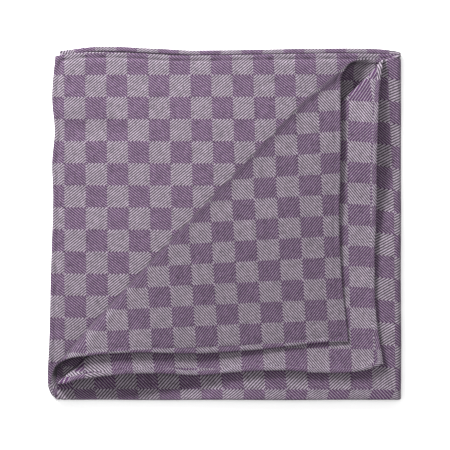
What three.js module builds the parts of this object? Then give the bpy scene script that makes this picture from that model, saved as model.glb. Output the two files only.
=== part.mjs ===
// A checked pocket square: one square of woven cloth with a hand-rolled hem, folded in quarters and laid
// flat, with the free corners of its two upper plies turned back over the diagonal.
// Millimetres, +Z up, +X to the right and +Y to the top of the folded square as it is looked at.
import * as THREE from "three";

// Cloth
const HALF_SIDE = 165; // half the side of the hemmed square
const THICKNESS = 1.0; // one ply with its twill ribs
const HEM_WIDTH = 3.3; // the rolled edge
const HEM_SWELL = 0.12; // how much the roll thickens the inner side
const EDGE_ROUND = 0.35; // how far the rounded edge stands out

// Folds
const PLY_PITCH = 1.5; // from the middle of one ply to the middle of the next
const FOLD_RIGHT = 83.4; // outermost middle line of the double fold at the right
const FOLD_BOTTOM = -83.5; // outermost middle line of the single folds at the bottom
const GROUND_PLY = THICKNESS / 2; // height of the middle of the lowest ply
const SINGLE_RADIUS = PLY_PITCH / 2; // first fold, one ply round
const DOUBLE_RADIUS = 1.5 * PLY_PITCH; // second fold, two plies round
const EASE_RADIUS = 6; // how gently a turned-back ply comes to lie flat again

// How far each hem stands from the fold that faces it, at places along the hem. Spread out, the cloth
// has its first fold along a, its second along b, and a hem at the left, right, low and high side.
const LEFT_HEM = [
  { along: -165, out: 162.5 },
  { along: -80, out: 163.4 },
  { along: -35, out: 164.8 },
  { along: -8, out: 165.8 },
  { along: 0, out: 164.2 },
  { along: 8, out: 167.2 },
  { along: 32, out: 166.9 },
  { along: 60, out: 166.6 },
  { along: 97, out: 165.6 },
  { along: 114, out: 166.2 },
  { along: 129, out: 164.9 },
  { along: 146, out: 166.2 },
  { along: 165, out: 164.6 },
];
const RIGHT_HEM = [
  { along: -165, out: 157.3 },
  { along: -158, out: 160.0 },
  { along: -147, out: 161.6 },
  { along: -134, out: 161.6 },
  { along: -117, out: 160.5 },
  { along: -91, out: 161.4 },
  { along: -78, out: 162.2 },
  { along: -52, out: 159.2 },
  { along: -35, out: 158.3 },
  { along: -17, out: 159.8 },
  { along: -8, out: 162.5 },
  { along: 0, out: 164.0 },
  { along: 8, out: 166.2 },
  { along: 18, out: 165.2 },
  { along: 34, out: 162.4 },
  { along: 60, out: 162.4 },
  { along: 93, out: 164.8 },
  { along: 125, out: 164.5 },
  { along: 150, out: 163.0 },
  { along: 165, out: 163.2 },
];
const LOW_HEM = [
  { along: -165, out: 165.8 },
  { along: -146, out: 167.8 },
  { along: -118, out: 166.8 },
  { along: -100, out: 166.0 },
  { along: -36, out: 166.9 },
  { along: -12, out: 166.6 },
  { along: 0, out: 164.8 },
  { along: 8, out: 161.4 },
  { along: 25, out: 159.2 },
  { along: 40, out: 159.0 },
  { along: 54, out: 159.6 },
  { along: 85, out: 161.2 },
  { along: 107, out: 161.0 },
  { along: 134, out: 161.5 },
  { along: 149, out: 163.0 },
  { along: 165, out: 165.6 },
];
const HIGH_HEM = [
  { along: -165, out: 163.6 },
  { along: -150, out: 165.3 },
  { along: -125, out: 164.8 },
  { along: -105, out: 163.7 },
  { along: -36, out: 164.7 },
  { along: 0, out: 163.8 },
  { along: 10, out: 162.0 },
  { along: 30, out: 162.2 },
  { along: 50, out: 162.0 },
  { along: 80, out: 160.8 },
  { along: 110, out: 159.3 },
  { along: 137, out: 159.6 },
  { along: 165, out: 161.4 },
];

// The rounded loops in which the two upper plies turn back. "along" runs along the diagonal from the
// bottom left to the top right, "out" is how far the loop reaches past the diagonal, "radius" is its
// roundness and "slope" the angle in degrees at which the ply comes down again.
const OUTER_LOOP = [
  { along: -120, out: 1.5, radius: 2.6, slope: 12 },
  { along: -110, out: 8.0, radius: 3.8, slope: 16 },
  { along: -98, out: 9.4, radius: 4.0, slope: 17 },
  { along: -75, out: 10.8, radius: 3.6, slope: 15 },
  { along: 0, out: 11.4, radius: 3.0, slope: 12 },
  { along: 60, out: 10.6, radius: 3.2, slope: 14 },
  { along: 85, out: 9.8, radius: 3.8, slope: 17 },
  { along: 100, out: 8.4, radius: 4.0, slope: 17 },
  { along: 113, out: 6.0, radius: 3.4, slope: 16 },
  { along: 120, out: 1.5, radius: 2.6, slope: 12 },
];
const INNER_LOOP = [
  { along: -120, out: 0.6, radius: 0.8, slope: 5 },
  { along: -90, out: 1.0, radius: 0.85, slope: 8 },
  { along: -60, out: 3.6, radius: 0.9, slope: 10 },
  { along: 0, out: 4.0, radius: 0.9, slope: 10 },
  { along: 60, out: 3.0, radius: 0.9, slope: 10 },
  { along: 90, out: 1.0, radius: 0.85, slope: 8 },
  { along: 120, out: 0.6, radius: 0.8, slope: 5 },
];

// The topmost flap lies turned a little about this point.
const FLAP_TURN = THREE.MathUtils.degToRad(3);
const FLAP_PIVOT = new THREE.Vector2(-20, -60);

// Where the turned-back plies stand up a little off those below.
const LIFTS = [
  { x: -45, y: -66, reach: 22, up: 2.0 },
  { x: 30, y: -66, reach: 20, up: 0.7 },
  { x: 70, y: 30, reach: 22, up: 1.4 },
  { x: 72, y: -64, reach: 16, up: 0.8 },
];

// Rulings: the flat cloth is divided along these lines before it is folded.
const CELLS_PER_HALF = 12; // plain divisions between a fold and a hem
const FOLD_STEPS = 8; // divisions round the single and the double fold
const OUTER_LOOP_STEPS = 10;
const INNER_LOOP_STEPS = 6;
const SNAP = 0.05; // a ruling this near a point goes through it

// Smooth curve through one column of a table.
function readTable(rows, column, along) {
  const at = THREE.MathUtils.clamp(along, rows[0].along, rows.at(-1).along);
  const next = Math.max(rows.findIndex((row) => row.along >= at), 1);
  const here = rows[next - 1];
  const there = rows[next];
  const before = rows[next - 2] ?? here;
  const after = rows[next + 1] ?? there;
  const step = there.along - here.along;
  const slopeHere = (step * (there[column] - before[column])) / (there.along - before.along);
  const slopeThere = (step * (after[column] - here[column])) / (after.along - here.along);
  const u = (at - here.along) / step;
  return (
    here[column] * ((2 * u - 3) * u * u + 1) +
    there[column] * (3 - 2 * u) * u * u +
    slopeHere * ((u - 2) * u + 1) * u +
    slopeThere * (u - 1) * u * u
  );
}

// A point (a, b) of the even square, moved to where the uneven hems put it on the spread cloth.
function spread(a, b) {
  const across = readTable(a < 0 ? LEFT_HEM : RIGHT_HEM, "out", b);
  const up = readTable(b < 0 ? LOW_HEM : HIGH_HEM, "out", a);
  return { s: (a * across) / HALF_SIDE, t: (b * up) / HALF_SIDE };
}

// Half a turn round an axis at the given radius above a ply: u runs along the cloth, 0 at the middle
// of the fold, and w is the height above the ply.
function halfTurn(u, w, radius) {
  const half = (Math.PI * radius) / 2;
  if (u < -half) return { reach: u + half, height: w };
  if (u > half) return { reach: half - u, height: 2 * radius - w };
  const angle = (u + half) / radius;
  return {
    reach: (radius - w) * Math.sin(angle),
    height: radius - (radius - w) * Math.cos(angle),
  };
}

// The cloth folded in half upwards, and then in half from right to left.
function foldInQuarters(s, t, n) {
  const first = halfTurn(t, n, SINGLE_RADIUS);
  const second = halfTurn(s, first.height, DOUBLE_RADIUS);
  return new THREE.Vector3(
    FOLD_RIGHT - DOUBLE_RADIUS + second.reach,
    FOLD_BOTTOM + SINGLE_RADIUS - first.reach,
    GROUND_PLY + second.height,
  );
}

// What a ply of the upper half follows: the third ply from below makes the outer loop, and the
// fourth the inner one.
function flapOf(t) {
  return t > 0
    ? { table: OUTER_LOOP, ply: GROUND_PLY + 2 * PLY_PITCH, rise: 3 * PLY_PITCH }
    : { table: INNER_LOOP, ply: GROUND_PLY + 3 * PLY_PITCH, rise: PLY_PITCH };
}

// Lengths of the loop's four stretches at one place along the diagonal: flat, round, sloping, easing.
function loopAt(flap, along) {
  const radius = readTable(flap.table, "radius", along);
  const slope = THREE.MathUtils.degToRad(readTable(flap.table, "slope", along));
  const fall =
    radius * (1 + Math.cos(slope)) - EASE_RADIUS * (1 - Math.cos(slope)) - flap.rise;
  return {
    radius,
    slope,
    start: readTable(flap.table, "out", along) - radius,
    round: radius * (Math.PI + slope),
    down: Math.max(fall / Math.sin(slope), 0),
    ease: EASE_RADIUS * slope,
  };
}

// A ply carried round its loop: p runs towards the upper left, w is the height above the ply.
function turnBack(p, w, loop) {
  const past = p - loop.start;
  if (past < 0) return { p, height: w, done: 0 };
  const { radius, slope } = loop;
  const angle = Math.min(past / radius, Math.PI + slope);
  const down = THREE.MathUtils.clamp(past - loop.round, 0, loop.down);
  const eased = THREE.MathUtils.clamp(past - loop.round - loop.down, 0, loop.ease) / EASE_RADIUS;
  const flat = Math.max(past - loop.round - loop.down - loop.ease, 0);
  const heading = angle - eased;
  return {
    p:
      loop.start +
      radius * Math.sin(angle) -
      down * Math.cos(slope) -
      EASE_RADIUS * (Math.sin(slope) - Math.sin(slope - eased)) -
      flat -
      w * Math.sin(heading),
    height:
      radius * (1 - Math.cos(angle)) -
      down * Math.sin(slope) -
      EASE_RADIUS * (Math.cos(slope - eased) - Math.cos(slope)) +
      w * Math.cos(heading),
    done: THREE.MathUtils.smoothstep(past, 0, loop.round + loop.down + loop.ease),
  };
}

// Distance past the diagonal and along it, of a point in plan.
function diagonal(point) {
  return { p: (point.y - point.x) / Math.SQRT2, q: (point.x + point.y) / Math.SQRT2 };
}

// A point of the even square, at the height n above the middle of the cloth, where it lies once folded.
function place(a, b, n) {
  const { s, t } = spread(a, b);
  const point = foldInQuarters(s, t, n);
  if (s <= 0) return point;
  const flap = flapOf(t);
  const { p, q } = diagonal(point);
  const turned = turnBack(p, point.z - flap.ply, loopAt(flap, q));
  point.set((q - turned.p) / Math.SQRT2, (q + turned.p) / Math.SQRT2, flap.ply + turned.height);
  if (t > 0) {
    const x = point.x - FLAP_PIVOT.x;
    const y = point.y - FLAP_PIVOT.y;
    point.x -= turned.done * FLAP_TURN * y;
    point.y += turned.done * FLAP_TURN * x;
  }
  for (const lift of LIFTS) {
    const away = Math.hypot(point.x - lift.x, point.y - lift.y) / lift.reach;
    point.z += turned.done * lift.up * Math.exp(-away * away);
  }
  return point;
}

// The flat cloth as corners (a, b) and convex cells between rulings.
const corners = [];
const addCorner = (a, b) => corners.push({ a, b }) - 1;
let cells = [
  [
    addCorner(-HALF_SIDE, -HALF_SIDE),
    addCorner(HALF_SIDE, -HALF_SIDE),
    addCorner(HALF_SIDE, HALF_SIDE),
    addCorner(-HALF_SIDE, HALF_SIDE),
  ],
];

// Rules the cloth along a line: off(corner) is a corner's distance from it, in millimetres. Cells outside
// the part of the cloth that the ruling belongs to are left whole.
function rule(off, belongs = () => true) {
  const crossings = new Map();
  const side = (corner) => {
    const distance = off(corners[corner]);
    return Math.abs(distance) < SNAP ? 0 : distance;
  };
  const crossing = (from, to) => {
    const [low, high] = from < to ? [from, to] : [to, from];
    const key = low + " " + high;
    if (!crossings.has(key)) {
      const share = side(low) / (side(low) - side(high));
      const { a, b } = corners[low];
      const end = corners[high];
      crossings.set(key, addCorner(a + share * (end.a - a), b + share * (end.b - b)));
    }
    return crossings.get(key);
  };
  cells = cells.flatMap((cell) => {
    if (!cell.every((corner) => belongs(corners[corner]))) return [cell];
    const sides = cell.map(side);
    if (Math.min(...sides) >= 0 || Math.max(...sides) <= 0) return [cell];
    const below = [];
    const above = [];
    cell.forEach((corner, i) => {
      const next = (i + 1) % cell.length;
      if (sides[i] <= 0) below.push(corner);
      if (sides[i] >= 0) above.push(corner);
      if (sides[i] * sides[next] < 0) {
        const middle = crossing(corner, cell[next]);
        below.push(middle);
        above.push(middle);
      }
    });
    return [below, above];
  });
}

// Rulings straight across the cloth: its two folds, its hems and plain divisions between them.
function ruleGrid() {
  const lines = [HALF_SIDE - HEM_WIDTH, HALF_SIDE - HEM_WIDTH / 2];
  for (let i = 1; i < CELLS_PER_HALF; i++) lines.push((i * HALF_SIDE) / CELLS_PER_HALF);
  for (const [axis, radius] of [["a", DOUBLE_RADIUS], ["b", SINGLE_RADIUS]]) {
    const half = (Math.PI * radius) / 2;
    const bend = [];
    for (let i = 1; i <= FOLD_STEPS / 2; i++) bend.push((2 * half * i) / FOLD_STEPS);
    rule((corner) => corner[axis]);
    for (const line of [...bend, ...lines]) {
      rule((corner) => corner[axis] - line);
      rule((corner) => corner[axis] + line);
    }
  }
}

// Rulings along a loop, for the quarter of the cloth above (1) or below (-1) the first fold.
function ruleLoop(quarter, roundSteps) {
  const flap = flapOf(quarter);
  const past = (corner, reach) => {
    const { s, t } = spread(corner.a, corner.b);
    const { p, q } = diagonal(foldInQuarters(s, t, 0));
    const loop = loopAt(flap, q);
    return p - loop.start - reach(loop);
  };
  const reaches = [
    (loop) => loop.round + loop.down / 2,
    (loop) => loop.round + loop.down,
    (loop) => loop.round + loop.down + loop.ease,
  ];
  for (let i = 0; i <= roundSteps; i++) reaches.push((loop) => (loop.round * i) / roundSteps);
  for (const reach of reaches) {
    rule((corner) => past(corner, reach), ({ a, b }) => a >= 0 && b * quarter >= 0);
  }
}

// Half the cloth's thickness on its inner side, where the rolled hem lies.
function innerHalf({ a, b }) {
  const middle = HEM_WIDTH / 2;
  const fromEdge = HALF_SIDE - Math.max(Math.abs(a), Math.abs(b));
  const swell = Math.max(1 - ((fromEdge - middle) / middle) ** 2, 0);
  return THICKNESS / 2 + HEM_SWELL * swell;
}

// The folded cloth as one closed surface: an outer side, an inner side and a rounded edge.
function clothGeometry() {
  const points = [];
  const faces = [];
  const outer = corners.map(({ a, b }) => points.push(place(a, b, -THICKNESS / 2)) - 1);
  const inner = corners.map((corner) => points.push(place(corner.a, corner.b, innerHalf(corner))) - 1);
  const edge = new Map();
  const pushedOut = (value) => (Math.abs(value) < HALF_SIDE ? value : value + Math.sign(value) * EDGE_ROUND);
  const edgePoint = (corner) => {
    if (!edge.has(corner)) {
      const { a, b } = corners[corner];
      edge.set(corner, points.push(place(pushedOut(a), pushedOut(b), 0)) - 1);
    }
    return edge.get(corner);
  };
  const onEdge = (one, two) =>
    ["a", "b"].some(
      (axis) => corners[one][axis] === corners[two][axis] && Math.abs(corners[one][axis]) === HALF_SIDE,
    );
  const quad = (p, q, r, s) => faces.push([p, q, r], [p, r, s]);
  for (const cell of cells) {
    for (let i = 1; i < cell.length - 1; i++) {
      faces.push([inner[cell[0]], inner[cell[i + 1]], inner[cell[i]]]);
      faces.push([outer[cell[0]], outer[cell[i]], outer[cell[i + 1]]]);
    }
    cell.forEach((corner, i) => {
      const next = cell[(i + 1) % cell.length];
      if (!onEdge(corner, next)) return;
      quad(inner[corner], inner[next], edgePoint(next), edgePoint(corner));
      quad(edgePoint(corner), edgePoint(next), outer[next], outer[corner]);
    });
  }
  const geometry = new THREE.BufferGeometry();
  geometry.setAttribute("position", new THREE.Float32BufferAttribute(points.flatMap((p) => p.toArray()), 3));
  geometry.setIndex(faces.flat());
  geometry.computeBoundingBox();
  const centre = geometry.boundingBox.getCenter(new THREE.Vector3());
  geometry.translate(-centre.x, -centre.y, -geometry.boundingBox.min.z);
  geometry.computeVertexNormals();
  return geometry;
}

ruleGrid();
ruleLoop(1, OUTER_LOOP_STEPS);
ruleLoop(-1, INNER_LOOP_STEPS);

// Greyish lavender and muted purple at arm's length.
const cloth = new THREE.MeshStandardMaterial({ color: 0x8d7a90, roughness: 0.85, metalness: 0 });
const square = new THREE.Mesh(clothGeometry(), cloth);
square.name = "pocket_square";
const pocketSquare = new THREE.Group();
pocketSquare.add(square);

export default pocketSquare;
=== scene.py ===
# %% [markdown]
# # A checked pocket square, folded in quarters
# The object is one square of light twill, woven in two yarns into a checkerboard, with a hem rolled and
# sewn by hand. It is folded in half upwards, in half again to the left, and the free corners of the two
# upper plies are turned back over the diagonal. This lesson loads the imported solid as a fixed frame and
# makes the cloth itself: the flat square first, then its rolled hem, then its folds, its weave and its
# stitches.

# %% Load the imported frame
import math

import bmesh
import bpy
import numpy as np
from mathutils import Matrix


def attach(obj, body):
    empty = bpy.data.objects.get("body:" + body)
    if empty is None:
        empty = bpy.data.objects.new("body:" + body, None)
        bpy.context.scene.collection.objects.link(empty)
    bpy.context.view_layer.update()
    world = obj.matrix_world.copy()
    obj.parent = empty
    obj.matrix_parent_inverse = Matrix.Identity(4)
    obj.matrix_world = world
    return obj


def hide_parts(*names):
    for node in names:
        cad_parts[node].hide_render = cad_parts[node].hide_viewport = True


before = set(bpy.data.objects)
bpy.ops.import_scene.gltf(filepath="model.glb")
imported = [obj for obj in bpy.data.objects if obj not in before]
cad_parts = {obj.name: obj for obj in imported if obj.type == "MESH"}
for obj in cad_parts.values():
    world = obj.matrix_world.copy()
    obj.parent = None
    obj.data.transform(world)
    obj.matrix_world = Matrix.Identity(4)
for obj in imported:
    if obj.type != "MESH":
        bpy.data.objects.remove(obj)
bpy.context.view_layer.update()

print("packed nodes:", sorted(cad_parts))

# %% [markdown]
# ## Sizes
# All sizes of the cloth are millimetres on the real object, and MM turns them into Blender's metres. The
# cloth is thinner here than in the solid, which carries its twill ribs and hems in one plain thickness.

# %% Driving sizes
MM = 0.001
HALF_SIDE = 165.0      # half the side of the hemmed square
SHEET = 0.45           # thickness of the cloth
PLY_PITCH = 1.5        # from the middle of one ply to the middle of the next
GROUND_PLY = SHEET / 2
SINGLE_RADIUS = PLY_PITCH / 2
DOUBLE_RADIUS = 1.5 * PLY_PITCH
EASE_RADIUS = 6.0      # how gently a turned-back ply comes to lie flat again
FOLD_RIGHT = 83.65     # outermost middle line of the double fold at the right
FOLD_BOTTOM = -83.75   # outermost middle line of the single folds at the bottom
CHECK_ACROSS = 10.0    # one check along the weft
CHECK_ALONG = 10.4     # one check along the warp
print(f"finished square {2 * HALF_SIDE:.0f} mm, checks {CHECK_ACROSS} by {CHECK_ALONG} mm")

# %% [markdown]
# ## Camera
# The square is seen from straight above. The camera stands well over a metre away, as it would in a
# studio, and its lens takes in a field a little wider than the packet, so that the edges sit where they
# do in the picture.

# %% Camera
CAMERA_HEIGHT = 1400.0
FIELD = 213.3          # width of what the camera sees, at the level of the cloth
CLOTH_LEVEL = 4.0
FIELD_CENTRE = (-0.06, -1.03)


def add_camera():
    bpy.ops.object.camera_add(
        location=(FIELD_CENTRE[0] * MM, FIELD_CENTRE[1] * MM, CAMERA_HEIGHT * MM), rotation=(0, 0, 0)
    )
    camera = bpy.context.object
    camera.name = "camera"
    camera.data.angle = 2 * math.atan(FIELD / 2 / (CAMERA_HEIGHT - CLOTH_LEVEL))
    bpy.context.scene.camera = camera
    return camera


camera = add_camera()
print(f"lens {camera.data.lens:.0f} mm")

# %% [markdown]
# ## Floor
# A plain white sheet of paper carries the object. It is large, so that no edge of it shows from a low
# side view either.


# %% Floor
def plain_material(name, colour, roughness):
    material = bpy.data.materials.new(name)
    material.use_nodes = True
    shader = material.node_tree.nodes["Principled BSDF"]
    shader.inputs["Base Color"].default_value = (*colour, 1)
    shader.inputs["Roughness"].default_value = roughness
    return material


bpy.ops.object.select_all(action="DESELECT")
bpy.ops.mesh.primitive_plane_add(size=8)
floor = bpy.context.object
floor.name = "floor"
floor.data.materials.append(plain_material("white_paper", (0.9, 0.9, 0.9), 0.9))
print("floor", [round(side, 1) for side in floor.dimensions])

# %% [markdown]
# ## Light
# The picture has soft light that comes from the upper left, with the white ground lit until it is plain
# white. One panel stands low and near at the upper left: it shows the plies by their shadows, and its
# light falls off across the packet. A large overhead panel and an even pale surround fill in, so that no
# shadow goes black.


# %% Studio light
def add_panel(name, place, size, power):
    """A square light panel in metres that faces the middle of the cloth."""
    bpy.ops.object.light_add(type="AREA", location=place)
    panel = bpy.context.object
    panel.name = name
    panel.data.size = size
    panel.data.energy = power
    panel.rotation_euler = (-bpy.context.object.location).to_track_quat("-Z", "Y").to_euler()
    return panel


add_panel("key_panel", (-0.34, 0.58, 0.42), 0.2, 20.5)
add_panel("top_panel", (0.0, 0.0, 1.6), 1.0, 14)

world = bpy.data.worlds.new("pale_surround")
world.use_nodes = True
world.node_tree.nodes["Background"].inputs["Color"].default_value = (1, 1, 1, 1)
world.node_tree.nodes["Background"].inputs["Strength"].default_value = 0.7
bpy.context.scene.world = world
bpy.context.scene.view_settings.view_transform = "Standard"

# %% [markdown]
# ## The uneven outline
# A hand-hemmed square is never quite square. Each table gives how far one hem stands from the fold that
# faces it, at places along that hem; a smooth curve runs through its values. The cloth is thought of
# spread out: the first fold runs along a, the second along b.

# %% Hem tables
LEFT_HEM = {
    "along": (-165, -80, -35, -8, -3, -1.2, 0, 1.2, 3, 8, 32, 60, 97, 114, 129, 146, 165),
    "out": (162.9, 163.8, 165.2, 166.4, 165.9, 164.4, 161.2, 164.8, 167.0, 168.5, 167.7, 167.1, 166.0,
            166.5, 165.3, 166.5, 165.0),
}
RIGHT_HEM = {
    "along": (-165, -158, -147, -134, -117, -91, -78, -52, -35, -17, -8, 0, 8, 18, 34, 60, 93, 125,
              150, 165),
    "out": (157.8, 160.5, 162.1, 162.1, 161.0, 161.9, 162.7, 159.7, 158.8, 160.3, 163.0, 164.5, 166.7,
            165.7, 162.9, 162.9, 165.3, 165.0, 163.5, 163.7),
}
LOW_HEM = {
    "along": (-165, -146, -118, -100, -36, -12, 0, 8, 25, 40, 54, 85, 107, 134, 149, 165),
    "out": (165.8, 167.8, 166.8, 166.0, 166.9, 166.6, 164.8, 161.4, 159.2, 159.0, 159.6, 161.2, 161.0,
            161.5, 163.0, 165.6),
}
HIGH_HEM = {
    "along": (-165, -150, -125, -105, -36, 0, 10, 30, 50, 80, 110, 137, 165),
    "out": (163.3, 165.0, 164.4, 163.4, 164.4, 163.8, 162.0, 162.2, 162.0, 160.8, 159.3, 159.6, 161.4),
}


def read_table(table, column, along):
    """Smooth curve through one column of a table, read at many places at once."""
    knots = np.array(table["along"], float)
    values = np.array(table[column], float)
    at = np.clip(along, knots[0], knots[-1])
    there = np.clip(np.searchsorted(knots, at), 1, len(knots) - 1)
    here = there - 1
    before = np.maximum(there - 2, 0)
    after = np.minimum(there + 1, len(knots) - 1)
    step = knots[there] - knots[here]
    slope_here = step * (values[there] - values[before]) / (knots[there] - knots[before])
    slope_there = step * (values[after] - values[here]) / (knots[after] - knots[here])
    u = (at - knots[here]) / step
    return (
        values[here] * ((2 * u - 3) * u * u + 1)
        + values[there] * (3 - 2 * u) * u * u
        + slope_here * ((u - 2) * u + 1) * u
        + slope_there * (u - 1) * u * u
    )


def spread(a, b):
    """A point of the even square, moved to where the uneven hems put it on the spread cloth."""
    across = np.where(a < 0, read_table(LEFT_HEM, "out", b), read_table(RIGHT_HEM, "out", b))
    up = np.where(b < 0, read_table(LOW_HEM, "out", a), read_table(HIGH_HEM, "out", a))
    return a * across / HALF_SIDE, b * up / HALF_SIDE


print("upper left corner of the spread cloth:", np.round(spread(-HALF_SIDE, HALF_SIDE), 1))

# %% [markdown]
# ## Folding in quarters
# A fold is half a turn round an axis: the cloth runs up to it, goes round at a small radius and comes
# back on the level above. Simulation could drop a cloth into such folds, but it wouldn't land on this
# outline, so each point is carried round by a formula, and the second fold takes the result of the
# first.


# %% Quarter folds
def half_turn(u, w, radius):
    """Half a turn at a radius above a ply: u runs along the cloth, w is the height above the ply."""
    half = math.pi * radius / 2
    angle = (np.clip(u, -half, half) + half) / radius
    before = u < -half
    after = u > half
    reach = np.where(before, u + half, np.where(after, half - u, (radius - w) * np.sin(angle)))
    turned = radius - (radius - w) * np.cos(angle)
    height = np.where(before, w, np.where(after, 2 * radius - w, turned))
    return reach, height


def fold_in_quarters(s, t, n):
    reach_up, height = half_turn(t, n, SINGLE_RADIUS)
    reach_across, height = half_turn(s, height, DOUBLE_RADIUS)
    x = FOLD_RIGHT - DOUBLE_RADIUS + reach_across
    y = FOLD_BOTTOM + SINGLE_RADIUS - reach_up
    return x, y, GROUND_PLY + height


# %% [markdown]
# ## Turning back over the diagonal
# The two upper plies come back over the diagonal in soft loops, one inside the other. Each loop is a
# flat stretch, a round turn, a slope down and an easing that brings it level again. "along" runs up the
# diagonal, "out" says how far the loop reaches past it. A picture from straight above shows no heights,
# so the radii, lifts and the crest are guesses that give shadows like those in it.

# %% Diagonal loops
OUTER_LOOP = {
    "along": (-120, -110, -98, -75, 0, 60, 85, 100, 113, 120),
    "out": (1.5, 8.0, 9.4, 10.8, 11.4, 10.6, 9.8, 8.4, 6.0, 1.5),
    "radius": (2.6, 3.8, 4.0, 3.6, 3.0, 3.2, 3.8, 4.0, 3.4, 2.6),
    "slope": (12, 16, 17, 15, 12, 14, 17, 17, 16, 12),
}
INNER_LOOP = {
    "along": (-120, -90, -60, 0, 60, 90, 120),
    "out": (0.6, 1.0, 3.6, 4.0, 3.0, 1.0, 0.6),
    "radius": (0.8, 0.85, 0.9, 0.9, 0.9, 0.85, 0.8),
    "slope": (5, 8, 10, 10, 10, 8, 5),
}
FLAP_TURN = math.radians(3)
FLAP_PIVOT = (-20.0, -60.0)
CREST = 2.0            # the upper flap starts that much higher than it ends
CREST_FALL = 1.35      # how much of that it loses towards its hem, which stays clear of the ply below
CREST_RUN = (8.0, 70.0)
LIFTS = (  # where the turned-back plies stand up a little: x, y, reach, up
    (-52, -72, 28, 4.8),
    (30, -66, 20, 0.7),
    (72, 38, 28, 3.2),
    (72, -64, 16, 0.8),
)
PRESSED = (            # where the lower plies lie close together: x, y, reach in x, reach in y, share
    (-38, -76, 38, 9, 0.6),
    (80, 34, 9, 30, 0.5),
)


def smooth_step(x):
    x = np.clip(x, 0, 1)
    return x * x * (3 - 2 * x)


def turn_back(p, w, q, table, rise):
    """A ply carried round its loop: p runs towards the upper left, q along the diagonal."""
    radius = read_table(table, "radius", q)
    slope = np.radians(read_table(table, "slope", q))
    fall = radius * (1 + np.cos(slope)) - EASE_RADIUS * (1 - np.cos(slope)) - rise
    start = read_table(table, "out", q) - radius
    round_length = radius * (math.pi + slope)
    down_length = np.maximum(fall / np.sin(slope), 0)
    ease_length = EASE_RADIUS * slope
    past = p - start
    angle = np.clip(past / radius, 0, math.pi + slope)
    down = np.clip(past - round_length, 0, down_length)
    eased = np.clip(past - round_length - down_length, 0, ease_length) / EASE_RADIUS
    flat = np.maximum(past - round_length - down_length - ease_length, 0)
    heading = angle - eased
    level = np.minimum(p, start)
    new_p = (
        level + radius * np.sin(angle) - down * np.cos(slope)
        - EASE_RADIUS * (np.sin(slope) - np.sin(slope - eased)) - flat - w * np.sin(heading)
    )
    height = (
        radius * (1 - np.cos(angle)) - down * np.sin(slope)
        - EASE_RADIUS * (np.cos(slope - eased) - np.cos(slope)) + w * np.cos(heading)
    )
    done = smooth_step(past / (round_length + down_length + ease_length))
    return new_p, height, done


def place(a, b, n):
    """Where points of the even square, n above the middle of the cloth, lie once it is folded."""
    s, t = spread(a, b)
    x, y, z = fold_in_quarters(s, t, n)
    for near_x, near_y, reach_x, reach_y, share in PRESSED:
        away = ((x - near_x) / reach_x) ** 2 + ((y - near_y) / reach_y) ** 2
        z = GROUND_PLY + (z - GROUND_PLY) * (1 - share * np.exp(-away))
    p = (y - x) / math.sqrt(2)
    q = (x + y) / math.sqrt(2)
    outer_ply = GROUND_PLY + 2 * PLY_PITCH
    inner_ply = GROUND_PLY + 3 * PLY_PITCH
    outer = turn_back(p, z - outer_ply, q, OUTER_LOOP, 3 * PLY_PITCH + CREST)
    inner = turn_back(p, z - inner_ply, q, INNER_LOOP, PLY_PITCH)
    upper = t > 0
    new_p, height, done = (np.where(upper, one, other) for one, other in zip(outer, inner))
    turned_x = (q - new_p) / math.sqrt(2)
    turned_y = (q + new_p) / math.sqrt(2)
    turned_z = np.where(upper, outer_ply, inner_ply) + height
    sunk = smooth_step((-new_p - CREST_RUN[0]) / (CREST_RUN[1] - CREST_RUN[0]))
    turned_z = turned_z - np.where(upper, CREST_FALL * done * sunk, 0)
    swing = np.where(upper, done * FLAP_TURN, 0)
    swung_x = turned_x - swing * (turned_y - FLAP_PIVOT[1])
    swung_y = turned_y + swing * (turned_x - FLAP_PIVOT[0])
    for lift_x, lift_y, reach, up in LIFTS:
        away = np.hypot(swung_x - lift_x, swung_y - lift_y) / reach
        turned_z = turned_z + done * up * np.exp(-away * away)
    free = s > 0
    return np.where(free, swung_x, x), np.where(free, swung_y, y), np.where(free, turned_z, z)


print("the free corner lies at", [round(float(v), 1) for v in place(165.0, 165.0, 0.0)])

# %% [markdown]
# ## The flat cloth
# The cloth starts as a grid on the table. It needs short faces only where it bends: it is cut along
# straight lines beside the two folds, across the diagonal loops and along the hems. Subdividing
# everything would spend the same faces on the still middle.

# %% Ruled grid
CELLS = 110            # 3 mm a cell
SNAP = 0.04


def select_faces(wanted):
    """Selects the faces of the mesh in edit mode whose middle, in millimetres, is wanted."""
    mesh = bmesh.from_edit_mesh(bpy.context.object.data)
    for face in mesh.faces:
        middle = face.calc_center_median() / MM
        face.select_set(bool(wanted(middle.x, middle.y)))
    bmesh.update_edit_mesh(bpy.context.object.data)


def cut(distance, normal):
    """Cuts all that shows along the line at a distance, in millimetres, from the cloth's middle."""
    bpy.ops.mesh.select_all(action="SELECT")
    length = math.hypot(*normal)
    bpy.ops.mesh.bisect(
        plane_co=(distance * MM * normal[0] / length, distance * MM * normal[1] / length, 0),
        plane_no=(*normal, 0),
        threshold=SNAP * MM,
    )


bpy.ops.object.select_all(action="DESELECT")
bpy.ops.mesh.primitive_grid_add(
    x_subdivisions=CELLS, y_subdivisions=CELLS, size=2 * HALF_SIDE * MM, calc_uvs=False
)
cloth = bpy.context.object
cloth.name = "folded_cloth"
bpy.ops.object.mode_set(mode="EDIT")
bpy.ops.mesh.select_mode(type="FACE")
for step in (1, 2, 3, 4):
    for side in (-1, 1):
        cut(side * step * math.pi * DOUBLE_RADIUS / 8, (1, 0))
        cut(side * step * math.pi * SINGLE_RADIUS / 8, (0, 1))
print("faces after the fold lines:", len(bmesh.from_edit_mesh(cloth.data).faces))

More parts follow.
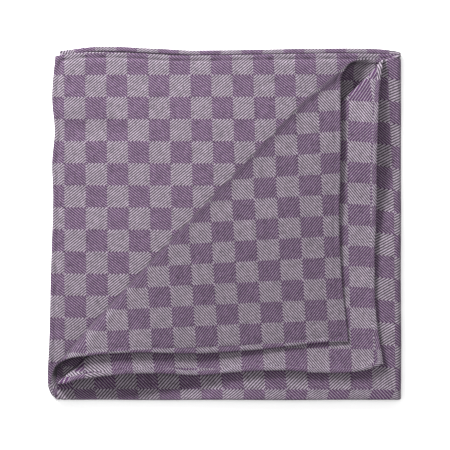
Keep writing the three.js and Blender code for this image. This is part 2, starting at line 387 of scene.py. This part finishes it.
# %% [markdown]
# The loops only need their lines in the quarter of the cloth that each is in, so the rest is hidden
# meanwhile. A line at a distance p past the diagonal of the folded packet lies at a known distance from
# the middle of the flat cloth, because both folds are near its middle lines.

# %% Loop lines
DIAGONAL_OFF = (FOLD_RIGHT - FOLD_BOTTOM) / math.sqrt(2)
SPREAD_SHARE = 0.985   # the spread cloth is that much narrower than the even square, on average


def cut_loop(quarter, first, last, step):
    select_faces(lambda a, b: a > 0 and b * quarter > 0)
    bpy.ops.mesh.hide(unselected=True)
    for past in np.arange(first, last, step):
        cut((DIAGONAL_OFF + past) / SPREAD_SHARE, (1, quarter))
    bpy.ops.mesh.reveal(select=False)


cut_loop(1, -1.0, 26.0, 1.2)
cut_loop(-1, -2.0, 8.0, 0.42)
print("faces after the loop lines:", len(bmesh.from_edit_mesh(cloth.data).faces))

# %% [markdown]
# The hem gets lines along it, and the edges that run along it are subdivided, so that a stitch can pull
# in a dimple of its own.

# %% Hem lines
HEM_LINES = (0.8, 1.5, 2.1, 2.7, 3.7)
HEM_CUTS = 2
for line in HEM_LINES:
    for normal in ((1, 0), (-1, 0), (0, 1), (0, -1)):
        cut(HALF_SIDE - line, normal)


def subdivide_along_hems():
    bpy.ops.mesh.select_all(action="DESELECT")
    bpy.ops.mesh.select_mode(type="EDGE")
    mesh = bmesh.from_edit_mesh(cloth.data)
    inner = (HALF_SIDE - HEM_LINES[-2] - SNAP) * MM
    for edge in mesh.edges:
        one, other = (vert.co for vert in edge.verts)
        for axis in (0, 1):
            beside = min(abs(one[axis]), abs(other[axis])) > inner
            straight = abs(one[axis] - other[axis]) < SNAP * MM
            if beside and straight and abs(one[1 - axis] - other[1 - axis]) > 2 * MM:
                edge.select_set(True)
    bmesh.update_edit_mesh(cloth.data)
    bpy.ops.mesh.subdivide(number_cuts=HEM_CUTS)


subdivide_along_hems()
print("faces after the hem lines:", len(bmesh.from_edit_mesh(cloth.data).faces))

# %% [markdown]
# ## The rolled hem
# A hand-rolled hem is the cloth's own edge, rolled over to the inner side and caught down with small
# stitches. On the mesh it is the border, extruded outwards row by row. It is rolled over later, in the
# same step that folds the cloth.

# %% Rows of the roll
ROLL_RADIUS = 0.26
ROLL_TURN = math.pi * ROLL_RADIUS
ROLL_ROWS = (0.2, 0.4, 0.6, ROLL_TURN, 1.25, 1.75, 2.25, 2.75, 3.2)


def extrude_border():
    bpy.ops.mesh.select_all(action="DESELECT")
    mesh = bmesh.from_edit_mesh(cloth.data)
    for edge in mesh.edges:
        edge.select_set(edge.is_boundary)
    bmesh.update_edit_mesh(cloth.data)
    reach = HALF_SIDE
    for row in ROLL_ROWS:
        bpy.ops.mesh.extrude_edges_move()
        grow = (HALF_SIDE + row) / reach
        bpy.ops.transform.resize(value=(grow, grow, 1), center_override=(0, 0, 0))
        reach = HALF_SIDE + row


extrude_border()
bpy.ops.mesh.select_all(action="SELECT")
bpy.ops.mesh.quads_convert_to_tris(quad_method="BEAUTY", ngon_method="BEAUTY")
bpy.ops.object.mode_set(mode="OBJECT")
print("triangles of one side:", len(cloth.data.polygons))

# %% [markdown]
# ## Where each point of the weave lies
# The checks belong to the flat cloth, so their places are written down before it is folded, in a UV map
# that counts checks: one unit is one check. The cloth was pressed a little out of true, so the checks
# drift along and across it. The tables give that drift in millimetres, adjusted until the lines of the
# check fell where they do in the picture; under the folds they are guesses.

# %% Check map
DRIFT_S = (-165.0, -8.0, 8.0, 30.0, 90.0, 165.0)
DRIFT_T = (-165.0, -90.0, -30.0, -5.0, 7.0, 165.0)
DRIFT_ACROSS = (       # rows follow DRIFT_T, columns DRIFT_S
    (-3.8, -2.9, -8.1, -9.9, -12.0, -10.8),
    (-2.5, -2.5, -5.0, -9.5, -10.5, -10.2),
    (-1.5, -2.0, -4.8, -6.5, -8.5, -6.9),
    (-0.5, -1.5, -4.6, -4.9, -5.7, -6.8),
    (0.9, -5.4, -10.7, -9.4, -5.7, -1.2),
    (0.9, 1.8, -3.1, -3.2, -3.2, -3.3),
)
DRIFT_ALONG = (
    (-6.0, -6.0, -2.9, 0.6, 2.9, 5.6),
    (-6.2, -6.2, -4.0, 0.0, 2.8, 5.4),
    (-6.5, -6.5, -4.8, -3.0, 0.0, 2.5),
    (-7.0, -6.5, -5.2, -5.2, -5.2, -5.2),
    (-7.9, -6.2, -4.0, -4.3, -5.0, -5.9),
    (-8.9, -9.4, -6.2, -6.3, -6.4, -6.6),
)


def drift(table, s, t):
    table = np.array(table)
    column = np.clip(np.searchsorted(DRIFT_S, s) - 1, 0, len(DRIFT_S) - 2)
    row = np.clip(np.searchsorted(DRIFT_T, t) - 1, 0, len(DRIFT_T) - 2)
    knots_s, knots_t = np.array(DRIFT_S), np.array(DRIFT_T)
    u = np.clip((s - knots_s[column]) / (knots_s[column + 1] - knots_s[column]), 0, 1)
    v = np.clip((t - knots_t[row]) / (knots_t[row + 1] - knots_t[row]), 0, 1)
    low = table[row, column] * (1 - u) + table[row, column + 1] * u
    high = table[row + 1, column] * (1 - u) + table[row + 1, column + 1] * u
    return low * (1 - v) + high * v


def write_check_map(obj):
    mesh = obj.data
    layer = mesh.uv_layers.new(name="checks")
    points = np.empty(3 * len(mesh.vertices))
    mesh.vertices.foreach_get("co", points)
    points = points.reshape(-1, 3)[:, :2] / MM
    corners = np.empty(len(mesh.loops), int)
    mesh.loops.foreach_get("vertex_index", corners)
    corners = corners.reshape(-1, 3)
    middle = points[corners].mean(axis=1)
    at_side = np.repeat((abs(middle[:, 0]) > abs(middle[:, 1]))[:, None], 3, axis=1).ravel()
    a, b = points[corners.ravel()].T
    inside = HALF_SIDE / np.maximum(np.maximum(abs(a), abs(b)), HALF_SIDE)
    s, t = spread(np.where(at_side, a, a * inside), np.where(at_side, b * inside, b))
    across = (s + drift(DRIFT_ACROSS, s, t)) / CHECK_ACROSS
    along = (t + drift(DRIFT_ALONG, s, t)) / CHECK_ALONG
    layer.uv.foreach_set("vector", np.stack([across, along], axis=1).astype(np.float32).ravel())


write_check_map(cloth)
print("uv maps:", [layer.name for layer in cloth.data.uv_layers])

# %% [markdown]
# ## Rolling the edge and folding
# Now every vertex moves. The border rows go over into the roll, which is drawn in at each stitch; the
# cloth beside a stitch sinks a little; the plies above the first wave gently, as pressed cloth does. Then
# the folding formula puts everything in its place. It knows nothing of contact, so the room between the
# plies is kept by the values, and in the two corners where the diagonal ends some of them still cross.

# %% Stitches along a hem
STITCH_GAP = 8.9       # from one stitch to the next
STITCH_JITTER = 0.7
STITCH_LINE = 2.3      # how far from the edge the stitches go in
DIMPLE = 0.6           # how far a stitch draws the cloth in
TIGHT, SLACK = 1.6, 0.5  # how much of that on the second ply, and on the ply under it


def stitch_shift(number, side):
    """How far a stitch is off its even place, different for each."""
    return STITCH_JITTER * np.sin(number * 2.4 + 1.7 * side)


def pinch(along, side, reach):
    """1 at a stitch and 0 between stitches, along the hem with that number."""
    number = np.round(along / STITCH_GAP)
    away = along - number * STITCH_GAP - stitch_shift(number, side)
    return np.exp(-((away / reach) ** 2))


def drawn_in(s, t):
    """How far the stitches draw the cloth in at a place of the spread cloth."""
    share = np.where(t > 0, TIGHT, SLACK)
    return DIMPLE * np.where(s < 0, share, 1)


def hem_number(a, b):
    return np.where(abs(a) >= abs(b), np.where(a > 0, 0, 1), np.where(b > 0, 2, 3))


# %% [markdown]
# The roll in section, from the edge inwards: half a turn over, a soft back, and an end that is tucked
# down on the cloth.

# %% Section of the roll
ROLL_WIDTH = 2.0
ROLL_BULGE = 0.13
ROLL_TUCK = 0.08
EDGE_INSET = 0.2       # the middle of the cloth turns that far inside the outline
MITRE = 12.0           # the roll gives way to the next side within this length of a corner


def roll_section(beyond, held):
    """Distance in from the edge and height of the roll, for cloth that far beyond the hem line."""
    angle = np.minimum(beyond, ROLL_TURN) / ROLL_RADIUS
    back = np.maximum(beyond - ROLL_TURN, 0) / (ROLL_ROWS[-1] - ROLL_TURN)
    inwards = (ROLL_WIDTH - EDGE_INSET) * back * (1 - 0.12 * held)
    bulge = ROLL_BULGE * (1 - 0.9 * held) * np.sin(math.pi * back)
    tuck = ROLL_TUCK * smooth_step((back - 0.75) / 0.25)
    inset = EDGE_INSET - ROLL_RADIUS * np.sin(angle) + inwards
    return inset, ROLL_RADIUS * (1 - np.cos(angle)) + bulge - tuck


def waves(s, t):
    """Soft unevenness of the pressed plies, none on the ply that rests on the table."""
    above = 1 - (1 - smooth_step((s + 10) / 20)) * (1 - smooth_step((t + 10) / 20))
    swell = (
        0.10 * np.sin(s / 11.0 + 0.6 * np.sin(t / 17.0)) + 0.09 * np.sin(t / 9.0 + 1.3)
        + 0.08 * np.sin((s + 1.7 * t) / 21.0 + 0.4)
    )
    return above * swell


CREASES = (            # troughs in the left half of the packet: from x, y to x, y, width, depth
    (-79, 45, -46, 44, 3.2, 1.0),
    (-72, 70, -20, 72, 4.0, 0.35),
    (-80, 12, -30, 9, 5.0, 0.3),
    (-62, -20, -70, -60, 6.0, 0.3),
)


def crease_depth(x, y):
    """How far the pressed cloth sinks in the soft troughs near a place."""
    depth = 0
    for from_x, from_y, to_x, to_y, width, deep in CREASES:
        run_x, run_y = to_x - from_x, to_y - from_y
        share = np.clip(((x - from_x) * run_x + (y - from_y) * run_y) / (run_x**2 + run_y**2), 0, 1)
        away = np.hypot(x - from_x - share * run_x, y - from_y - share * run_y)
        depth = depth + deep * np.exp(-((away / width) ** 2))
    return depth


HEM_UNDER = 0.35       # how far the hem under it lifts the second ply
HEM_REACH = 9.0        # and how far in from the edge that goes


def settle(x, y, s, t, from_edge):
    """The second ply rides up on the hem under it and sinks into its own creases."""
    up = HEM_UNDER * np.exp(-((from_edge / HEM_REACH) ** 2)) * smooth_step(t / 12)
    down = crease_depth(x, y) * smooth_step((from_edge - 2) / 6)
    return np.where((s < 0) & (t > 0), up - down, 0)


def shape_cloth(points):
    """Where the vertices of the flat cloth lie once its edge is rolled and it is folded."""
    a, b = points[:, 0], points[:, 1]
    reach = np.maximum(abs(a), abs(b))
    beyond = np.maximum(reach - HALF_SIDE, 0)
    inside = HALF_SIDE / np.maximum(reach, HALF_SIDE)
    base_a, base_b = a * inside, b * inside
    side = hem_number(a, b)
    at_side = side < 2
    along = np.where(at_side, base_b, base_a)
    inset, height = roll_section(beyond, pinch(along, side, 1.1))
    corner = smooth_step((abs(along) - (HALF_SIDE - MITRE)) / MITRE)
    rolled = beyond > 0
    near = np.maximum(1 - (HALF_SIDE - np.stack([abs(a), abs(b)])) / 3, 0) * EDGE_INSET
    in_a = np.where(rolled, np.where(at_side, inset, inset * corner), near[0])
    in_b = np.where(rolled, np.where(at_side, inset * corner, inset), near[1])
    from_edge = HALF_SIDE - reach
    s, t = spread(base_a, base_b)
    held = pinch(along, side, np.where((s < 0) & (t > 0), 1.9, 1.1))
    dimple = drawn_in(s, t) * (0.3 + 0.7 * held) * np.exp(-(((from_edge - STITCH_LINE) / 0.7) ** 2))
    n = np.where(rolled, height, dimple)
    n = n + waves(s, t)
    x, y, z = place(base_a - np.sign(a) * in_a, base_b - np.sign(b) * in_b, n)
    return np.stack([x, y, z + settle(x, y, s, t, from_edge)], axis=1)


CENTRE_SHIFT = (-0.39, -0.083, 0.0)


def centre_in_frame(points):
    """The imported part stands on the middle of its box, so the fold's own zero moves there."""
    return points + np.array(CENTRE_SHIFT)


def fold_mesh(obj, shape):
    """Puts a flat mesh in its folded place; shape says where each point goes, in millimetres."""
    mesh = obj.data
    points = np.empty(3 * len(mesh.vertices))
    mesh.vertices.foreach_get("co", points)
    flat = points.reshape(-1, 3) / MM
    folded = centre_in_frame(shape(flat))
    mesh.vertices.foreach_set("co", (folded * MM).ravel())
    mesh.update()


fold_mesh(cloth, shape_cloth)
print("highest point in millimetres:", round(max(vert.co.z for vert in cloth.data.vertices) / MM, 1))

# %% [markdown]
# ## The weave
# In a pale check each pick floats over three ends, in a purple check each end floats over three picks,
# and the ribs run the other way. On the inner side every crossing is the other way up. The group works
# this out thread by thread from the check map, so it also holds in a close view. First come the helpers
# that keep the node code short.


# %% Twill group
def new_group(name, inputs, outputs):
    group = bpy.data.node_groups.new(name, "ShaderNodeTree")
    for label, kind, value in inputs:
        socket = group.interface.new_socket(label, in_out="INPUT", socket_type=kind)
        if value is not None:
            socket.default_value = value
    for label, kind in outputs:
        group.interface.new_socket(label, in_out="OUTPUT", socket_type=kind)
    start = group.nodes.new("NodeGroupInput")
    end = group.nodes.new("NodeGroupOutput")
    return group, start, end


def math_node(tree, operation, *values):
    """A math node; each value is a number or the socket that feeds it."""
    node = tree.nodes.new("ShaderNodeMath")
    node.operation = operation
    for index, value in enumerate(values):
        if isinstance(value, (int, float)):
            node.inputs[index].default_value = value
        else:
            tree.links.new(value, node.inputs[index])
    return node.outputs[0]


def mix_colours(tree, share, first, second):
    node = tree.nodes.new("ShaderNodeMix")
    node.data_type = "RGBA"
    for index, value in ((0, share), (6, first), (7, second)):
        if isinstance(value, (int, float)):
            node.inputs[index].default_value = value
        elif isinstance(value, tuple):
            node.inputs[index].default_value = (*value, 1)
        else:
            tree.links.new(value, node.inputs[index])
    return node.outputs[2]


# %% [markdown]
# One group puts out a colour and a height. Which yarn is on top follows from the numbers of the two
# threads that cross; the shade of each thread comes from noise that runs along it. The quarter on top
# and the pressed fold look darker in the picture than form and light make them here, so they are
# shaded in the colour, by their place on the cloth. That shade stays in any other light.

# %% Checked twill
ENDS_PER_CHECK = 25    # warp threads across one check
PICKS_PER_CHECK = 32   # weft threads along one check
FLOAT = 4              # the twill repeats every four threads
FOLD_AT_CHECK = 17.5   # the diagonal fold, in checks counted along both directions
FOLD_BAND = 0.5        # half the width of its shade, in the same measure
# painted shade in the colour, at the middle of the band along the fold
FOLD_SHADE = 0.6
TOP_SHADE = 0.14       # shade of the quarter on top


def build_twill_group():
    group, start, end = new_group(
        "checked_twill",
        [
            ("Place", "NodeSocketVector", None),
            ("Inner Side", "NodeSocketFloat", 0.0),
            ("Weft", "NodeSocketColor", (0.4, 0.35, 0.4, 1)),
            ("Warp", "NodeSocketColor", (0.16, 0.08, 0.18, 1)),
        ],
        [("Color", "NodeSocketColor"), ("Height", "NodeSocketFloat")],
    )

    def m(operation, *values):
        return math_node(group, operation, *values)

    split = group.nodes.new("ShaderNodeSeparateXYZ")
    group.links.new(start.outputs["Place"], split.inputs[0])
    across, along = split.outputs[0], split.outputs[1]
    side = start.outputs["Inner Side"]
    check = m("FLOORED_MODULO", m("ADD", m("FLOOR", across), m("FLOOR", along)), 2)
    weft_face = m("SUBTRACT", 1, m("ABSOLUTE", m("SUBTRACT", check, side)))
    ends = m("MULTIPLY", across, ENDS_PER_CHECK)
    picks = m("MULTIPLY", along, PICKS_PER_CHECK)
    end_number, pick_number = m("FLOOR", ends), m("FLOOR", picks)

    def of_face(for_weft, for_warp):
        return m("ADD", for_warp, m("MULTIPLY", weft_face, m("SUBTRACT", for_weft, for_warp)))

    # How far along its float the main yarn is: below a quarter the other yarn comes over it.
    lean = m("SUBTRACT", m("MULTIPLY", check, 2), 1)
    crossed = m("MULTIPLY", lean, of_face(pick_number, end_number))
    float_phase = m("FRACT", m("DIVIDE", m("ADD", of_face(ends, picks), crossed), FLOAT))
    on_top = m("GREATER_THAN", float_phase, 1 / FLOAT)
    warp_up = m("ABSOLUTE", m("SUBTRACT", weft_face, on_top))
    # A float is highest in its middle, and round across.
    rise = m("MULTIPLY", m("SUBTRACT", float_phase, 1 / FLOAT), math.pi * FLOAT / (FLOAT - 1))
    crown = m("MAXIMUM", m("SINE", rise), 0)
    width = m("SINE", m("MULTIPLY", m("FRACT", of_face(picks, ends)), math.pi))
    ridge = m("MULTIPLY", crown, m("ADD", 0.5, m("MULTIPLY", width, 0.5)))
    # Yarn is uneven: every thread has its own shade, and the shade changes along it.
    shade = None
    for number, run, seed in ((end_number, along, 3.1), (pick_number, across, 7.7)):
        place_on_thread = group.nodes.new("ShaderNodeCombineXYZ")
        group.links.new(m("MULTIPLY", number, 0.731), place_on_thread.inputs[0])
        group.links.new(m("MULTIPLY", run, 2.5), place_on_thread.inputs[1])
        place_on_thread.inputs[2].default_value = seed
        noise = group.nodes.new("ShaderNodeTexNoise")
        noise.inputs["Scale"].default_value = 1.0
        noise.inputs["Detail"].default_value = 2.0
        group.links.new(place_on_thread.outputs[0], noise.inputs["Vector"])
        shade = noise.outputs["Fac"] if shade is None else m("ADD", shade, noise.outputs["Fac"])
    uneven = m("ADD", -0.1, m("MULTIPLY", shade, 1.1))
    # Painted shade of the thread relief: a float is lightest at its crown, darker at its ends.
    painted_float_shade = m("MULTIPLY", on_top, m("ADD", 0.05, m("MULTIPLY", ridge, 1.8)))
    # Painted shade between pale floats, where the crossing yarn lies deep; painted light where it shows
    # between purple ones.
    painted_crossing_shade = m("MULTIPLY", m("SUBTRACT", 1, on_top), m("SUBTRACT", 1.3, m("MULTIPLY", weft_face, 1.2)))
    depth = m("ADD", painted_float_shade, painted_crossing_shade)
    # Shade of the quarter on top and of its pressed fold, added to match the picture.
    turned_quarter = m("MULTIPLY", m("GREATER_THAN", across, -0.5), m("GREATER_THAN", along, -0.5))
    # Painted shade: a dark band along the diagonal fold, and the whole quarter on top darker.
    past_fold = m("DIVIDE", m("SUBTRACT", m("ADD", across, along), FOLD_AT_CHECK), FOLD_BAND)
    falling_off = m("POWER", 2.718, m("MULTIPLY", m("MULTIPLY", past_fold, past_fold), -1))
    painted_fold_shade = m("MULTIPLY", falling_off, FOLD_SHADE)
    quarter_shade = m("SUBTRACT", 1, m("MULTIPLY", turned_quarter, m("ADD", TOP_SHADE, painted_fold_shade)))
    brightness = m("MULTIPLY", m("MULTIPLY", uneven, depth), quarter_shade)
    yarn = mix_colours(group, warp_up, start.outputs["Weft"], start.outputs["Warp"])
    scaled = group.nodes.new("ShaderNodeVectorMath")
    scaled.operation = "SCALE"
    group.links.new(yarn, scaled.inputs[0])
    group.links.new(brightness, scaled.inputs["Scale"])
    group.links.new(scaled.outputs[0], end.inputs["Color"])
    group.links.new(ridge, end.inputs["Height"])
    return group


twill = build_twill_group()
print("nodes in the twill group:", len(twill.nodes))

# %% [markdown]
# ## The two sides
# Both sides use the one group. A cotton twill is matt, with a faint sheen where the floats catch the
# light.

# %% Cloth materials
WEFT = (0.140, 0.117, 0.143)
WARP = (0.0260, 0.0075, 0.0310)
RIDGE = 0.06           # height of a thread, in millimetres


def twill_material(name, inner_side):
    material = bpy.data.materials.new(name)
    material.use_nodes = True
    tree = material.node_tree
    shader = tree.nodes["Principled BSDF"]
    shader.inputs["Roughness"].default_value = 0.82
    shader.inputs["Specular IOR Level"].default_value = 0.12
    shader.inputs["Sheen Weight"].default_value = 0.04
    shader.inputs["Sheen Roughness"].default_value = 0.5
    place_node = tree.nodes.new("ShaderNodeUVMap")
    place_node.uv_map = "checks"
    weave = tree.nodes.new("ShaderNodeGroup")
    weave.node_tree = twill
    weave.inputs["Inner Side"].default_value = inner_side
    weave.inputs["Weft"].default_value = (*WEFT, 1)
    weave.inputs["Warp"].default_value = (*WARP, 1)
    bump = tree.nodes.new("ShaderNodeBump")
    bump.inputs["Distance"].default_value = RIDGE * MM
    bump.inputs["Strength"].default_value = 0.15
    tree.links.new(place_node.outputs["UV"], weave.inputs["Place"])
    tree.links.new(weave.outputs["Color"], shader.inputs["Base Color"])
    tree.links.new(weave.outputs["Height"], bump.inputs["Height"])
    tree.links.new(bump.outputs["Normal"], shader.inputs["Normal"])
    return material


cloth.data.materials.append(twill_material("twill_outer_side", 0.0))
cloth.data.materials.append(twill_material("twill_inner_side", 1.0))

print("yarns:", WEFT, WARP)

# %% [markdown]
# ## Thickness
# The sheet has only a middle so far. Solidify gives it its thickness, half to each side, and puts the
# inner side in the second material slot, because the two sides of this weave are each other's negative.


# %% Thickness
def add_thickness(obj):
    bpy.ops.object.select_all(action="DESELECT")
    obj.select_set(True)
    bpy.context.view_layer.objects.active = obj
    thickness = obj.modifiers.new("thickness", "SOLIDIFY")
    thickness.thickness = SHEET * MM
    thickness.offset = 0
    thickness.material_offset = 1
    thickness.material_offset_rim = 0
    bpy.ops.object.modifier_apply(modifier=thickness.name)
    bpy.ops.object.shade_smooth()


add_thickness(cloth)
print("triangles:", sum(len(face.vertices) - 2 for face in cloth.data.polygons))

# %% [markdown]
# ## Stitches
# Small slanted stitches of purple thread hold the roll down on the inner side; on the outer side they
# only show as dimples. One stitch is a stretched ball. An array repeats it along one side, three turned
# copies give the other sides, and the same folding formula takes them to their places.


# %% Hem stitches
STITCH_LENGTH = 1.6
THREAD = 0.26
STITCH_SLANT = math.radians(38)
STITCHES_TO_A_SIDE = 37
ROLL_TOP = 2 * ROLL_RADIUS - 0.05  # height of the roll where a stitch crosses it


def flat_stitches():
    """All stitches on the spread cloth, at their even places."""
    bpy.ops.object.select_all(action="DESELECT")
    bpy.ops.mesh.primitive_uv_sphere_add(segments=6, ring_count=6, radius=MM)
    stitches = bpy.context.object
    stitches.name = "hem_stitches"
    first = -(STITCHES_TO_A_SIDE - 1) / 2 * STITCH_GAP
    bpy.ops.object.mode_set(mode="EDIT")
    bpy.ops.transform.resize(value=(THREAD / 2, THREAD / 2, STITCH_LENGTH / 2))
    bpy.ops.transform.rotate(value=math.pi / 2, orient_axis="Y")
    bpy.ops.transform.rotate(value=STITCH_SLANT, orient_axis="Z")
    bpy.ops.transform.translate(value=(first * MM, (HALF_SIDE - STITCH_LINE + 0.3) * MM, 0))
    bpy.ops.object.mode_set(mode="OBJECT")
    row = stitches.modifiers.new("row", "ARRAY")
    row.count = STITCHES_TO_A_SIDE
    row.use_relative_offset = False
    row.use_constant_offset = True
    row.constant_offset_displace = (STITCH_GAP * MM, 0, 0)
    bpy.ops.object.modifier_apply(modifier=row.name)
    bpy.ops.object.mode_set(mode="EDIT")
    bpy.ops.mesh.select_all(action="SELECT")
    for turn in range(3):
        bpy.ops.mesh.duplicate()
        bpy.ops.transform.rotate(value=math.pi / 2, orient_axis="Z", center_override=(0, 0, 0))
    bpy.ops.object.mode_set(mode="OBJECT")
    bpy.ops.object.shade_smooth()
    return stitches


def shape_stitches(points):
    """Where the flat stitches lie: half on the roll, half on the cloth beside it."""
    a, b, above = points[:, 0], points[:, 1], points[:, 2]
    side = hem_number(a, b)
    at_side = side < 2
    along = np.where(at_side, b, a)
    moved = stitch_shift(np.round(along / STITCH_GAP), side)
    a = np.where(at_side, a, a + moved)
    b = np.where(at_side, b + moved, b)
    from_edge = HALF_SIDE - np.maximum(abs(a), abs(b))
    on_roll = smooth_step((STITCH_LINE + 0.1 - from_edge) / 0.8)
    s, t = spread(a, b)
    n = SHEET / 2 + above + on_roll * ROLL_TOP + (1 - on_roll) * 0.8 * drawn_in(s, t) + waves(s, t)
    x, y, z = place(a, b, n)
    return np.stack([x, y, z + settle(x, y, s, t, from_edge)], axis=1)


stitches = flat_stitches()
fold_mesh(stitches, shape_stitches)
stitches.data.materials.append(plain_material("purple_thread", (0.05, 0.02, 0.055), 0.8))
print("stitches:", 4 * STITCHES_TO_A_SIDE)
print("their triangles:", sum(len(face.vertices) - 2 for face in stitches.data.polygons))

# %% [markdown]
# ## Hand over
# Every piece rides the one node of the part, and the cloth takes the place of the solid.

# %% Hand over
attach(cloth, "root")
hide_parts("pocket_square")
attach(stitches, "root")
